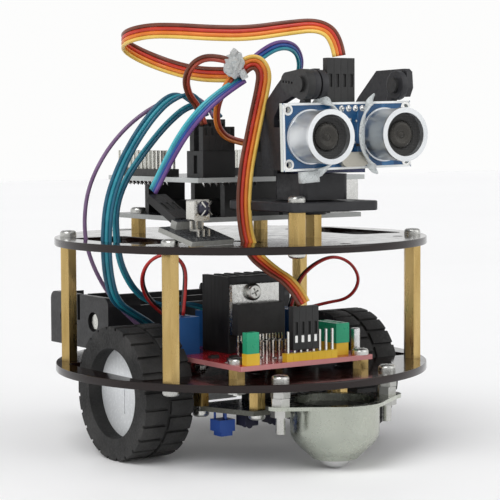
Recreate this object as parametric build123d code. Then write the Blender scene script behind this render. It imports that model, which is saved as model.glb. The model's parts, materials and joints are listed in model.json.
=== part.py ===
from build123d import *
import math
import os

# A small two-wheel robot car: two round acrylic decks, two gear-motor wheels, a ball
# caster in front, a motor driver, a controller with a wiring shield, and a distance
# sensor on a servo turntable. Millimetres. Forward is -Y, up is +Z, and the car's
# right side is -X. The design is drawn about the middle of the axle line on the floor,
# and every solid is moved by FRAME_SHIFT when it is written, which puts the middle of
# the whole car over the origin.
os.makedirs("parts", exist_ok=True)

FRAME_SHIFT = Vector(0, 6.13, 0)

# Decks
DECK_RADIUS = 63.3
DECK_THICK = 2.5
LOWER_BOTTOM = 27.0
LOWER_TOP = LOWER_BOTTOM + DECK_THICK
DECK_GAP = 40.0
UPPER_BOTTOM = LOWER_TOP + DECK_GAP
UPPER_TOP = UPPER_BOTTOM + DECK_THICK
POST_X = 49.0
POST_Y = 32.5
HEX_FLATS = 5.2
M3_RADIUS = 1.5
M3_HOLE = 1.65
M2_RADIUS = 1.0
M2_HOLE = 1.15
CUT = 0.5

# Wheels and motors
AXLE_Z = 22.0
TYRE_RADIUS = 22.0
TYRE_BASE_RADIUS = 21.1
LUG_WIDTH = 4.6
TYRE_BEAD_RADIUS = 14.8
RIM_RADIUS = 15.5
WHEEL_OUTER = 51.6
WHEEL_WIDTH = 18.0
WHEEL_INNER = WHEEL_OUTER - WHEEL_WIDTH
LUGS = 24
HUB_RECESS = 5.0
SHAFT_RADIUS = 1.5
SHAFT_FLAT = 1.0
GEARBOX_OUTER = 28.5
GEARBOX_LENGTH = 9.0
MOTOR_LENGTH = 15.0
MOTOR_WIDE = 12.0
MOTOR_TALL = 10.0
CLAMP_SCREW_X = 23.5
CLAMP_SCREW_Y = 10.5

# Ball caster
CASTER_Y = -52.5
CASTER_SCREW_X = 21.4
FLANGE_TOP = 22.0
SHEET = 1.2
BALL_RADIUS = 7.0
BALL_GAP = 0.35

# Line tracker under the lower deck
TRACKER_BOTTOM = 16.5
BOARD_THICK = 1.6
TRACKER_TOP = TRACKER_BOTTOM + BOARD_THICK
TRACKER_POSTS = [(-27.5, -16.5), (27.5, -16.5), (-16.8, -33.2), (16.8, -33.2)]
EYE_X = [-15.3, -5.1, 5.1, 15.3]
EYE_Y = -25.5

# Motor driver
DRIVER_BOTTOM = 32.4
DRIVER_TOP = DRIVER_BOTTOM + BOARD_THICK
DRIVER_BOX = (-31.0, 21.6, -44.8, 10.0)
DRIVER_POSTS = [(-28.0, -38.0), (18.4, -42.3), (-28.0, 6.0), (18.6, 6.0)]
PITCH = 2.54
HEADER_X = -12.8
HEADER_Y = -43.0
HEADER_PINS = 8
PLUGGED_PINS = [1, 2, 3, 4]
PLUG_TALL = 14.0

# Battery holder
HOLDER_X = (-38.0, 39.0)
HOLDER_Y = (25.0, 66.0)
HOLDER_FEET_Y = 56.0
HOLDER_Z = (32.0, 50.5)
HOLDER_WALL = 1.2
CELL_PITCH = 20.0

# Controller and shield
CONTROLLER_BOX = (-24.0, 44.5, -10.0, 43.4)
CONTROLLER_BOTTOM = 77.4
CONTROLLER_TOP = CONTROLLER_BOTTOM + BOARD_THICK
SHIELD_BOX = (-25.0, 44.5, -12.0, 46.0)
SHIELD_BOTTOM = 90.6
SHIELD_TOP = SHIELD_BOTTOM + BOARD_THICK
SOCKET_TALL = 8.5
CONTROLLER_POSTS = [(-19.5, -2.0), (-19.5, 35.0), (28.0, -3.5), (28.0, 28.0)]

# Remote-control receiver: its front corner stands on the rim of the upper deck, turned
# RECEIVER_TURN about Z and leaning back by RECEIVER_LEAN
RECEIVER_CORNER = (-47.0, -41.5)
RECEIVER_WIDE = 19.0
RECEIVER_DEEP = 15.0
RECEIVER_TURN = 12.6
RECEIVER_LEAN = 16.0

# Turntable and head. The head is drawn square to the car about the pan axis, and then
# turned by HEAD_YAW. The sensor board sits SONAR_ROLL out of level in its cradle.
PAN_X = 0.4
PAN_Y = -39.6
HEAD_YAW = -5.0
TABLE_BOX = (-17.5, 17.0, -55.0, -17.2)
TABLE_Z = (82.0, 85.1)
TABLE_POSTS = [(-13.0, -50.0), (13.0, -24.0)]
TURRET_BOX = (-8.4, 9.2, -48.6, -30.8)
TURRET_Z = (85.5, 93.8)
SERVO_BOX = (-5.4, 17.3, -45.7, -33.5)
SERVO_Z = (94.0, 116.4)
SERVO_EARS = 4.6
TILT_Y = -63.7
TILT_Z = 121.6
HORN_ARM = (-12.9, -10.7)
PLAIN_ARM = (19.0, 21.2)
EAR_THICK = 2.2
PIVOT_GAP = 0.5
SONAR_X = -1.4
SONAR_Y = -64.3
SONAR_WIDE = 47.0
SONAR_Z = (95.6, 116.3)
CANS_X = -0.5
CAN_SPACING = 27.0
SONAR_ROLL = -1.3
CAN_RADIUS = 8.0
CAN_LENGTH = 12.4
PLUG_X = -2.8

# Wires. A ribbon is drawn as one round bundle of equal section. Each route is laid by
# hand from the end where the wire leaves the car.
RIBBON = 2.6
TRIPLE = 2.2
LEAD = 1.8
WIRE = 1.4
SONAR_ROUTE = [
    (-4.6, -60.9, 130.5), (-5.5, -60.4, 136.6), (-9.6, -57.0, 140.2), (-16.5, -50.8, 139.4),
    (-25.5, -42.0, 137.8), (-33.0, -32.5, 138.2), (-39.5, -22.5, 139.2), (-44.0, -12.5, 139.6),
    (-46.8, -3.0, 138.2), (-43.7, 4.6, 136.2), (-36.2, 7.8, 133.3), (-28.7, 4.6, 129.9),
    (-25.2, -6.0, 127.0), (-22.6, -17.0, 125.6), (-19.5, -28.0, 125.6),
]
DRIVER_ROUTE = [
    (-13.0, -30.0, 127.0), (-13.9, -30.4, 117.0), (-16.8, -30.6, 104.0), (-19.0, -30.4, 94.0),
    (-19.5, -29.8, 82.0), (-18.0, -30.8, 69.5), (-13.3, -35.0, 63.5), (-7.5, -41.0, 58.5),
    (-5.2, -43.0, 52.2),
]
RECEIVER_ROUTE = [
    (-19.4, -29.5, 124.0), (-28.5, -27.8, 118.5), (-36.0, -23.8, 109.5), (-40.4, -19.2, 99.5),
    (-43.8, -14.4, 88.4),
]
SERVO_ROUTE = [
    (-17.0, -30.0, 128.5), (-11.0, -30.3, 133.2), (-3.0, -29.5, 135.8), (4.5, -27.3, 134.0),
    (8.8, -23.3, 127.5), (8.2, -16.0, 120.5), (6.6, -10.0, 115.8), (5.9, -8.9, 109.9),
]
TRACKER_ROUTE = [
    (-16.9, -3.4, 112.2), (-18.0, -1.6, 117.2), (-22.0, 0.0, 119.8), (-27.6, 1.4, 118.6),
    (-33.5, 3.2, 112.6), (-39.4, 4.8, 104.0), (-44.4, 6.0, 94.5), (-48.4, 6.2, 84.0),
    (-50.2, 5.0, 72.0), (-50.0, 4.4, 61.0), (-46.5, 6.0, 51.5), (-38.0, 9.5, 47.0),
    (-29.0, 13.0, 42.5), (-21.0, 14.6, 36.0), (-14.5, 14.5, 29.0),
]
SIGNAL_ROUTES = [
    [
        (-13.0, -3.4, 112.0), (-13.8, -0.4, 117.0), (-19.0, 3.6, 120.0), (-27.6, 8.0, 117.0),
        (-36.5, 12.8, 110.0), (-44.0, 16.6, 100.0), (-49.0, 19.2, 88.0), (-50.0, 20.0, 75.5),
        (-48.2, 19.6, 65.5), (-42.5, 20.0, 55.0), (-35.5, 19.5, 46.5), (-27.0, 18.2, 39.0),
        (-18.8, 16.6, 31.4),
    ],
    [
        (-10.5, -3.4, 112.0), (-12.0, 0.0, 116.0), (-18.0, 3.8, 116.6), (-25.0, 7.2, 110.0),
        (-31.5, 10.0, 101.5), (-38.5, 12.0, 91.5), (-42.3, 12.3, 81.5), (-42.0, 12.0, 71.0),
        (-40.3, 12.0, 62.0), (-34.0, 12.3, 52.5), (-25.0, 11.0, 48.0), (-16.0, 8.6, 49.4),
        (-9.8, 6.0, 46.6),
    ],
    [
        (-24.0, -28.8, 129.8), (-28.2, -25.0, 131.5), (-31.3, -19.3, 129.5),
        (-31.0, -13.8, 124.5), (-27.3, -10.2, 119.3), (-22.6, -8.6, 115.6), (-20.6, -8.9, 109.7),
    ],
    [
        (-22.4, -27.7, 124.5), (-24.8, -25.3, 119.3), (-24.4, -21.6, 113.0),
        (-20.5, -17.8, 107.5), (-12.5, -13.4, 104.3), (-1.8, -10.0, 103.1),
    ],
]
LEAD_ROUTES = [
    [
        (-27.0, -4.8, 46.6), (-25.8, -5.0, 55.5), (-25.6, -4.6, 63.6), (-30.6, -2.6, 67.6),
        (-36.3, 0.8, 65.2), (-37.0, 5.2, 58.5), (-31.5, 9.6, 51.0), (-22.0, 13.2, 45.0),
        (-12.8, 14.3, 38.0), (-8.5, 14.3, 29.0),
    ],
    [
        (17.5, -4.5, 46.6), (19.5, -5.5, 55.5), (25.5, -7.5, 61.5), (33.0, -9.5, 64.3),
        (40.5, -10.3, 61.0), (45.0, -9.0, 54.5), (43.5, -4.5, 48.0), (37.0, 1.0, 46.5),
        (29.0, 7.5, 43.5), (20.5, 12.5, 38.0), (13.0, 14.4, 29.0),
    ],
]


def block(x, y, z):
    """A box from three (low, high) pairs."""
    middle = Pos((x[0] + x[1]) / 2, (y[0] + y[1]) / 2, (z[0] + z[1]) / 2)
    return middle * Box(x[1] - x[0], y[1] - y[0], z[1] - z[0])


def rod(x, y, z0, z1, radius):
    """A round bar along Z."""
    return Pos(x, y, (z0 + z1) / 2) * Cylinder(radius, z1 - z0)


def axle(x0, x1, y, z, radius):
    """A round bar along X."""
    return Pos((x0 + x1) / 2, y, z) * Rot(0, 90, 0) * Cylinder(radius, abs(x1 - x0))


def hexagon(x, y, z0, z1, flats=HEX_FLATS, turn=0.0):
    """A hexagonal bar along Z, given by its width across flats."""
    outline = Pos(x, y, z0) * Rot(0, 0, turn) * RegularPolygon(flats / 2, 6, major_radius=False)
    return extrude(outline, amount=z1 - z0)


def spacer(x, y, z0, z1, flats=HEX_FLATS, turn=0.0):
    """A hexagonal spacer with a clear hole through it."""
    return hexagon(x, y, z0, z1, flats, turn) - rod(x, y, z0 - CUT, z1 + CUT, M3_HOLE)


def pan_screw(x, y, seat, length, down=True, radius=M3_RADIUS, head=2.8, tall=2.0):
    """A pan-head cross-recess screw; seat is the height of the face under its head."""
    sign = 1 if down else -1
    cap = rod(x, y, min(seat, seat + sign * tall), max(seat, seat + sign * tall), head)
    cap = fillet(cap.edges().sort_by(Axis.Z)[-1 if down else 0], tall * 0.55)
    tip = seat - sign * length
    body = cap + rod(x, y, min(seat, tip), max(seat, tip), radius)
    top = seat + sign * tall
    for turn in (0, 90):
        body -= Pos(x, y, top) * Rot(0, 0, turn + 20) * Box(head, 0.6, 1.4)
    return body


def nut(x, y, z0, tall=2.4, flats=5.5, hole=M3_HOLE, turn=0.0):
    return hexagon(x, y, z0, z0 + tall, flats, turn) - rod(x, y, z0 - CUT, z0 + tall + CUT, hole)


def corners(dx, dy):
    return [(sx * dx, sy * dy) for sx in (-1, 1) for sy in (-1, 1)]


def save(name, *solids):
    """Write one sub-part as a STEP file in the shared frame."""
    moved = [Pos(FRAME_SHIFT) * s for shape in solids for s in shape.solids()]
    export_step(Compound(children=moved) if len(moved) > 1 else moved[0], f"parts/{name}.step")


def head_turn(shape):
    """Turn a head part from square to the car to its rest direction."""
    return Pos(PAN_X, PAN_Y, 0) * Rot(0, 0, HEAD_YAW) * Pos(-PAN_X, -PAN_Y, 0) * shape


# ---------------------------------------------------------------- chassis


def deck(bottom, well, well_x, holes, slots):
    """A round deck with two wheel wells, screw holes and cable slots."""
    outline = Circle(DECK_RADIUS)
    for side in (-1, 1):
        outline -= Pos(side * well_x, 0) * RectangleRounded(*well, 3)
    for x, y, radius in holes:
        outline -= Pos(x, y) * Circle(radius)
    for x, y, wide, deep in slots:
        outline -= Pos(x, y) * RectangleRounded(wide, deep, min(wide, deep) / 2 - 0.05)
    return extrude(Pos(0, 0, bottom) * outline, amount=DECK_THICK)


def decks():
    posts = [(x, y, M3_HOLE) for x, y in corners(POST_X, POST_Y)]
    lower = posts + [(x, y, M3_HOLE) for x, y in TRACKER_POSTS + DRIVER_POSTS]
    lower += [(s * CASTER_SCREW_X, CASTER_Y, M3_HOLE) for s in (-1, 1)]
    lower += [(s * 12.0, HOLDER_FEET_Y, M3_HOLE) for s in (-1, 1)]
    lower += [(x, y, M2_HOLE) for x, y in corners(CLAMP_SCREW_X, CLAMP_SCREW_Y)]
    lower_slots = [(-12.0, 14.5, 12.0, 4.0), (12.0, 14.5, 12.0, 4.0), (0.0, -15.0, 14.0, 5.0)]
    save("lower_deck", deck(LOWER_BOTTOM, (23, 50), 43, lower, lower_slots))
    upper = posts + [(x, y, M3_HOLE) for x, y in TABLE_POSTS + CONTROLLER_POSTS]
    upper += [(38.0, -38.0, M3_HOLE), (0.0, -58.0, M3_HOLE), (-34.0, -49.0, M3_HOLE)]
    upper_slots = [(-18.0, -30.0, 6.0, 13.0), (12.0, 54.0, 16.0, 4.0), (-14.0, 54.0, 16.0, 4.0)]
    save("upper_deck", deck(UPPER_BOTTOM, (20.5, 44), 43.6, upper, upper_slots))


def deck_posts():
    """Four hexagonal brass posts between the decks, tapped at both ends."""
    posts = []
    for x, y in corners(POST_X, POST_Y):
        post = hexagon(x, y, LOWER_TOP, UPPER_BOTTOM)
        for end in (LOWER_TOP, UPPER_BOTTOM):
            post -= rod(x, y, end - 8, end + 8, M3_HOLE)
        posts.append(post)
    save("deck_posts", *posts)


def machine_screws():
    """Every screw in the car: M3 throughout, and M2 in the motor clamps."""
    screws = []
    for x, y in corners(POST_X, POST_Y):
        screws.append(pan_screw(x, y, UPPER_TOP, 8))
        screws.append(pan_screw(x, y, LOWER_BOTTOM, 8, down=False))
    for x, y in TABLE_POSTS:
        screws.append(pan_screw(x, y, TABLE_Z[1], 7))
        screws.append(pan_screw(x, y, UPPER_BOTTOM, 6, down=False))
    for x, y in TRACKER_POSTS:
        screws.append(pan_screw(x, y, TRACKER_BOTTOM, 5, down=False))
    for side in (-1, 1):
        screws.append(pan_screw(side * CASTER_SCREW_X, CASTER_Y, LOWER_TOP, 16.5))
    for x, y in DRIVER_POSTS:
        screws.append(pan_screw(x, y, DRIVER_TOP, 10 if y < 0 else 6))
    for x, y in CONTROLLER_POSTS:
        screws.append(pan_screw(x, y, CONTROLLER_TOP, 11))
    screws.append(Pos(-8.0, -18.0, 54.4) * Rot(90, 0, 0) * pan_screw(0, 0, 0, 1.6, head=2.9))
    for x, y in corners(CLAMP_SCREW_X, CLAMP_SCREW_Y):
        screws.append(pan_screw(x, y, LOWER_TOP, 8, radius=M2_RADIUS, head=1.9, tall=1.4))
    save("machine_screws", *screws)


def machine_nuts():
    """Every M3 nut in the car: two spacing nuts and one clamping nut on each caster
    screw, and one under the deck for each board screw that has room for it."""
    nuts = []
    for side in (-1, 1):
        for i, z in enumerate((FLANGE_TOP, FLANGE_TOP + 2.5, FLANGE_TOP - SHEET - 2.4)):
            nuts.append(nut(side * CASTER_SCREW_X, CASTER_Y, z, turn=11 * i))
    for x, y in DRIVER_POSTS[:2]:
        nuts.append(nut(x, y, LOWER_BOTTOM - 2.4))
    for x, y in CONTROLLER_POSTS:
        nuts.append(nut(x, y, UPPER_BOTTOM - 2.4))
    for x, y in corners(CLAMP_SCREW_X, CLAMP_SCREW_Y):
        nuts.append(nut(x, y, LOWER_BOTTOM - 4.1, 1.6, 4.0, M2_HOLE))
    save("machine_nuts", *nuts)


# ---------------------------------------------------------------- drive


def shaft_section(radius, flat):
    return Circle(radius) - Pos(flat + radius, 0) * Rectangle(2 * radius, 4 * radius)


def along_x(section, x0, x1):
    """Extrude a section drawn about the axle line from x0 to x1."""
    plane = Plane(origin=(x0, 0, AXLE_Z), x_dir=(0, 0, 1), z_dir=(1, 0, 0))
    return extrude(plane * section, amount=x1 - x0)


def tread(turn):
    """The outline of one row of tread lugs."""
    outline = Circle(TYRE_BASE_RADIUS)
    for i in range(LUGS):
        lug = Pos((TYRE_RADIUS + TYRE_BASE_RADIUS) / 2 - 1, 0) * Rectangle(3.5, LUG_WIDTH)
        outline += Rot(0, 0, turn + i * 360 / LUGS) * (lug & Circle(TYRE_RADIUS))
    return outline


def tyre(side):
    low, high = sorted((side * WHEEL_INNER, side * WHEEL_OUTER))
    half = (low + high) / 2
    body = along_x(tread(0), low, half - 0.6) + along_x(tread(180 / LUGS), half + 0.6, high)
    body += along_x(Circle(TYRE_BASE_RADIUS), half - 0.6, half + 0.6)
    body -= along_x(Circle(TYRE_BEAD_RADIUS), low - CUT, high + CUT)
    seat = sorted((side * (WHEEL_INNER + 1.0), side * (WHEEL_OUTER - HUB_RECESS)))
    return body - along_x(Circle(RIM_RADIUS), *seat)


def rim(side):
    """A white wheel: a thin barrel, a closed outer disc and a boss for the shaft."""
    inner = side * (WHEEL_INNER + 1.0)
    outer = side * (WHEEL_OUTER - HUB_RECESS)
    disc = outer - side * 2.0
    barrel = along_x(Circle(RIM_RADIUS) - Circle(TYRE_BEAD_RADIUS - 1), *sorted((inner, outer)))
    body = barrel + along_x(Circle(RIM_RADIUS), *sorted((disc, outer)))
    body += along_x(Circle(4.5), *sorted((inner + side * 2, disc)))
    bore = shaft_section(SHAFT_RADIUS + 0.02, SHAFT_FLAT + 0.02)
    body -= along_x(bore, *sorted((inner - side, outer - side * 1.0)))
    slit = Pos(side * (WHEEL_OUTER - HUB_RECESS), 0, AXLE_Z - 1.5) * Box(1.0, 0.5, 11.0)
    return body - slit


def gear_motor(side):
    """A flat-sided can motor behind its gearbox, as two solids."""
    outer = side * GEARBOX_OUTER
    joint = outer - side * GEARBOX_LENGTH
    back = joint - side * MOTOR_LENGTH
    box = Rectangle(MOTOR_TALL, MOTOR_WIDE)
    gearbox = along_x(box, *sorted((joint, outer)))
    gearbox -= along_x(Circle(SHAFT_RADIUS + 0.05), *sorted((outer - side * 7, outer + side)))
    can = Circle(MOTOR_WIDE / 2) & Rectangle(MOTOR_TALL, MOTOR_WIDE)
    motor = along_x(can, *sorted((back, joint)))
    motor += along_x(Circle(2.2), *sorted((back - side * 1.2, back)))
    return gearbox, motor


def motor_clamp(side):
    """A plastic saddle round the gearbox with one screw ear on each side."""
    inner = side * 19.6
    outer = side * 28.0
    x = sorted((inner, outer))
    top = LOWER_BOTTOM
    body = block(x, (-8.0, 8.0), (15.4, top)) - block(
        (x[0] - CUT, x[1] + CUT), (-6.05, 6.05), (AXLE_Z - 5.05, top + CUT)
    )
    for s in (-1, 1):
        ear = block(x, sorted((s * 8.0, s * 13.0)), (top - 2.5, top))
        body += ear - rod(side * CLAMP_SCREW_X, s * CLAMP_SCREW_Y, top - 4, top + 1, M2_HOLE)
    return body


def drive():
    gearboxes = []
    for side, name in ((-1, "right"), (1, "left")):
        save(f"tyre_{name}", tyre(side))
        save(f"rim_{name}", rim(side))
        start = side * (GEARBOX_OUTER - 6.5)
        end = side * (WHEEL_OUTER - HUB_RECESS - 1.1)
        section = shaft_section(SHAFT_RADIUS, SHAFT_FLAT)
        shaft = along_x(Circle(SHAFT_RADIUS), *sorted((start, side * (GEARBOX_OUTER + 0.6))))
        shaft += along_x(section, *sorted((side * (GEARBOX_OUTER + 0.6), end)))
        save(f"axle_{name}", shaft)
        gearbox, motor = gear_motor(side)
        gearboxes.append(gearbox)
        save(f"motor_{name}", motor)
    save("gearboxes", *gearboxes)
    save("motor_clamps", motor_clamp(-1), motor_clamp(1))


# ---------------------------------------------------------------- caster


def caster():
    """A pressed steel cup with screw ears, the plug that holds the ball, and the ball."""
    low = FLANGE_TOP - SHEET
    with BuildSketch(Plane.XZ) as section:
        with BuildLine():
            Polyline((0, low), (14.3, low), (14.3, 12.5))
            Spline((14.3, 12.5), (12.6, 8.4), (9.0, 5.0), tangents=[(0, -1), (-1, -0.75)])
            Polyline((9.0, 5.0), (7.3, 3.3), (6.4, 3.3), (6.4, 4.0), (8.0, 5.6))
            Spline((8.0, 5.6), (11.6, 9.0), (13.1, 12.9), tangents=[(1, 0.75), (0, 1)])
            Polyline((13.1, 12.9), (13.1, low - 0.01), (0, low - 0.01), (0, low))
        make_face()
    shell = revolve(section.sketch, Axis.Z, 360)
    shell -= rod(0, 0, low - 3, low + 1, 13.1)
    ears = Circle(16.2) + SlotOverall(2 * 26.0, 9.6)
    ears += Polygon((-22, 4.8), (-10, 12.5), (10, 12.5), (22, 4.8), align=None)
    ears += Polygon((-22, -4.8), (-10, -12.5), (10, -12.5), (22, -4.8), align=None)
    flange = extrude(Pos(0, 0, low) * ears, amount=SHEET) - rod(0, 0, low - 1, FLANGE_TOP + 1, 13.1)
    cup = shell + flange
    for side in (-1, 1):
        cup -= rod(side * CASTER_SCREW_X, 0, low - 1, FLANGE_TOP + 1, M3_HOLE)
    save("caster_cup", Pos(0, CASTER_Y, 0) * cup)
    plug = rod(0, 0, 12.9, 19.5, 13.05)
    plug -= Pos(0, 0, BALL_RADIUS) * Sphere(BALL_RADIUS + BALL_GAP)
    save("caster_plug", Pos(0, CASTER_Y, 0) * plug)
    save("caster_ball", Pos(0, CASTER_Y, BALL_RADIUS) * Sphere(BALL_RADIUS))


# ---------------------------------------------------------------- tracker


def tracker():
    """The line-tracker board on four spacers, with its sensors, dial and header."""
    outline = Polygon((-30.5, -12.8), (-21.0, -37.4), (21.0, -37.4), (30.5, -12.8), align=None)
    for x, y in TRACKER_POSTS:
        outline -= Pos(x, y) * Circle(M3_HOLE)
    save("tracker_board", extrude(Pos(0, 0, TRACKER_BOTTOM) * outline, amount=BOARD_THICK))
    eyes = []
    for x in EYE_X:
        eye = block((x - 2.6, x + 2.6), (EYE_Y - 2.6, EYE_Y + 2.6), (11.6, TRACKER_BOTTOM))
        for s in (-1, 1):
            eye += Pos(x, EYE_Y + s * 1.3, 11.6) * Sphere(1.0)
        eyes.append(eye)
    save("tracker_eyes", *eyes)
    dial = block((-26.2, -20.2), (-25.6, -20.0), (10.2, 14.0))
    foot = block((-25.2, -20.8), (-25.0, -20.6), (8.6, 10.2))
    legs = [rod(x, y, 14.0, TRACKER_BOTTOM, 0.4) for x, y in ((-25.0, -21), (-21.4, -21), (-23.2, -24.6))]
    save("tracker_dial", dial + foot, *legs)


def all_spacers():
    """Every short brass spacer: under the tracker, the driver, the battery holder, the
    controller and the turntable."""
    spacers = [spacer(x, y, TRACKER_TOP, LOWER_BOTTOM, 5.0) for x, y in TRACKER_POSTS]
    spacers += [spacer(x, y, LOWER_TOP, DRIVER_BOTTOM, 5.0) for x, y in DRIVER_POSTS]
    spacers += [spacer(s * 12.0, HOLDER_FEET_Y, LOWER_TOP, HOLDER_Z[0], 5.0) for s in (-1, 1)]
    spacers += [spacer(s * 29.0, 31.0, LOWER_TOP, HOLDER_Z[0], 5.0) for s in (-1, 1)]
    spacers += [spacer(x, y, UPPER_TOP, CONTROLLER_BOTTOM, 5.0) for x, y in CONTROLLER_POSTS]
    spacers += [spacer(x, y, UPPER_TOP, TABLE_Z[0]) for x, y in TABLE_POSTS]
    save("board_spacers", *spacers)


# ---------------------------------------------------------------- motor driver


def driver():
    """The motor driver board with its heat sink, bridge chip, terminals and headers."""
    x0, x1, y0, y1 = DRIVER_BOX
    board = block((x0, x1), (y0, y1), (DRIVER_BOTTOM, DRIVER_TOP))
    for x, y in DRIVER_POSTS:
        board -= rod(x, y, DRIVER_BOTTOM - 1, DRIVER_TOP + 1, M3_HOLE)
    save("driver_board", board)
    sink = block((-16.2, 6.8), (-16.3, -0.5), (DRIVER_TOP, 59.5))
    for i in range(5):
        x = -13.9 + i * 4.1
        sink -= block((x, x + 2.3), (-11.5, 0), (DRIVER_TOP - 1, 60))
    save("driver_heatsink", sink)
    tab = block((-15.9, 3.0), (-18.0, -16.3), (40.5, 57.0))
    tab -= Pos(-8.0, -17, 54.4) * Rot(90, 0, 0) * Cylinder(1.8, 6)
    body = block((-15.9, 3.0), (-21.2, -18.0), (40.5, 50.8))
    save("driver_chip", tab, body)
    terminals = []
    for lows, across in (((x0, -9.5), True), ((13.6, -9.5), True), ((-12.3, 1.8), False)):
        size = (7.8, 10.2) if across else (15.2, 8.0)
        x, y = (lows[0], lows[0] + size[0]), (lows[1], lows[1] + size[1])
        unit = block(x, y, (DRIVER_TOP, 46.4))
        for i in range(2 if across else 3):
            cx = (x[0] + x[1]) / 2 if across else x[0] + 2.5 + i * 5.08
            cy = y[0] + 2.5 + i * 5.1 if across else (y[0] + y[1]) / 2
            unit -= rod(cx, cy, 43.4, 47, 1.7)
        terminals.append(unit)
    save("driver_terminals", *terminals)
    strips = []
    for i in range(HEADER_PINS):
        x = HEADER_X + PITCH * i
        strips.append((x, x + PITCH - 0.04))
    plastic = [block(s, (HEADER_Y - 1.27, HEADER_Y + 1.27), (DRIVER_TOP, 36.6)) for s in strips]
    plastic.append(block((-28.4, -23.4), (HEADER_Y - 1.27, HEADER_Y + 1.27), (DRIVER_TOP, 37.7)))
    plastic.append(block((10.2, 15.2), (-40.2, -28.8), (DRIVER_TOP, 38.0)))
    save("driver_header", *plastic)
    cap = block((-28.2, -23.6), (HEADER_Y - 1.25, HEADER_Y + 1.25), (37.7, 44.4))
    cap2 = block((10.0, 15.4), (-40.4, -28.6), (38.0, 44.5))
    for i in range(4):
        y = -39.0 + i * 2.95
        cap2 -= block((11.7, 13.7), (y - 0.4, y + 1.5), (43.0, 45))
    cap -= block((-26.6, -25.2), (HEADER_Y - 0.7, HEADER_Y + 0.7), (43.0, 45))
    save("driver_jumpers", cap, cap2)
    can = fillet(rod(20.0, -37.8, DRIVER_TOP, 42.2, 1.5).edges().sort_by(Axis.Z)[-1], 0.4)
    save("driver_capacitor", can)


def driver_plugs():
    """The four jumper housings on the driver's header."""
    middles = [HEADER_X + PITCH * i + PITCH / 2 for i in PLUGGED_PINS]
    return [housing(x, HEADER_Y, 37.5) for x in middles]


def all_pins():
    """Every header pin: the driver's header, the legs of its chip, and the shield's pins."""
    pins = []
    for i in range(HEADER_PINS):
        x = HEADER_X + PITCH * i + PITCH / 2
        top = 37.4 if i in PLUGGED_PINS else 43.5
        pins.append(block((x - 0.32, x + 0.32), (HEADER_Y - 0.32, HEADER_Y + 0.32), (36.6, top)))
    for i in range(15):
        x = -14.9 + i * 1.27
        y = -23.4 if i % 2 else -19.6
        lead = block((x - 0.3, x + 0.3), (y - 0.3, y + 0.3), (DRIVER_TOP, 38.5))
        lead += block((x - 0.3, x + 0.3), (y - 0.3, -19.3), (37.9, 38.5))
        pins.append(lead + block((x - 0.3, x + 0.3), (-19.9, -19.3), (37.9, 40.5)))
    for x, y in shield_pin_places():
        pins.append(block((x - 0.32, x + 0.32), (y - 0.32, y + 0.32), (SHIELD_TOP + 2.5, 101.0)))
    save("header_pins", *pins)


def housing(x, y, z, tall=PLUG_TALL):
    """One single-way jumper housing, standing up, with its latch window."""
    half = PITCH / 2 - 0.03
    body = block((x - half, x + half), (y - half, y + half), (z, z + tall))
    return body - block((x - 0.6, x + 0.6), (y - half - CUT, y - half + 0.5), (z + 5, z + 9))


# ---------------------------------------------------------------- battery holder


def battery_holder():
    """An open holder for two 18650 cells, long side across the car."""
    x, y, z = HOLDER_X, HOLDER_Y, HOLDER_Z
    body = block(x, y, z)
    body = fillet(body.edges().filter_by(Axis.X).group_by(Axis.Z)[-1], 3.0)
    middle = sum(y) / 2
    for s in (-1, 1):
        bay = sorted((middle + s * 0.6, middle + s * (20.5 - HOLDER_WALL)))
        body -= block((x[0] + 2.4, x[1] - 2.4), bay, (z[0] + 1.8, z[1] + CUT))
        for end in x:
            hole = Pos(end, middle + s * CELL_PITCH / 2, 41.6) * Rot(0, 90, 0) * Cylinder(3.4, 6)
            body -= hole
    body -= block((x[0] + 13, x[1] - 13), (y[0] - 1, y[1] + 1), (z[1] - 3.0, z[1] + 1))
    for end in x:
        body -= block((end - 4, end + 4), (middle - 0.9, middle + 0.9), (z[1] - 9, z[1] + 1))
    for s in (-1, 1):
        body -= rod(s * 12.0, HOLDER_FEET_Y, z[0] - 1, z[0] + 3, M3_HOLE)
    save("battery_holder", body)
    contacts = []
    for s in (-1, 1):
        for end, inward in ((x[0], 1), (x[1], -1)):
            face = end + inward * 2.4
            plate = sorted((face, face + inward * 0.6))
            yc = middle + s * CELL_PITCH / 2
            contact = block(plate, (yc - 5, yc + 5), (35.5, 47.5))
            contact += axle(end + inward * 1.0, face, yc, 41.6, 2.6)
            contacts.append(contact)
    save("battery_contacts", *contacts)


# ---------------------------------------------------------------- controller and shield


def controller():
    """The controller board, its two sockets, its pin sockets and its chip."""
    x0, x1, y0, y1 = CONTROLLER_BOX
    board = block((x0, x1), (y0, y1), (CONTROLLER_BOTTOM, CONTROLLER_TOP))
    for x, y in CONTROLLER_POSTS:
        board -= rod(x, y, CONTROLLER_BOTTOM - 1, CONTROLLER_TOP + 1, M3_HOLE)
    save("controller_board", board)
    usb = block((34.6, 50.7), (-0.7, 11.3), (CONTROLLER_TOP, 90.2))
    usb -= block((43.0, 51.5), (0.3, 10.3), (81.0, 88.4))
    usb += block((43.0, 50.2), (3.0, 7.6), (83.0, 86.4))
    save("usb_socket", usb)
    jack = block((31.5, 46.0), (31.0, 40.0), (CONTROLLER_TOP, 90.0))
    jack -= axle(36.0, 47.0, 35.5, 84.8, 3.3)
    jack += axle(34.0, 44.5, 35.5, 84.8, 1.0)
    save("power_jack", jack)
    chip = block((-14.0, 21.5), (22.0, 29.0), (CONTROLLER_TOP + 1.0, CONTROLLER_TOP + 4.5))
    feet = block((-13.0, 20.5), (22.8, 28.2), (CONTROLLER_TOP, CONTROLLER_TOP + 1.0))
    save("controller_chip", chip + feet)


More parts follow.
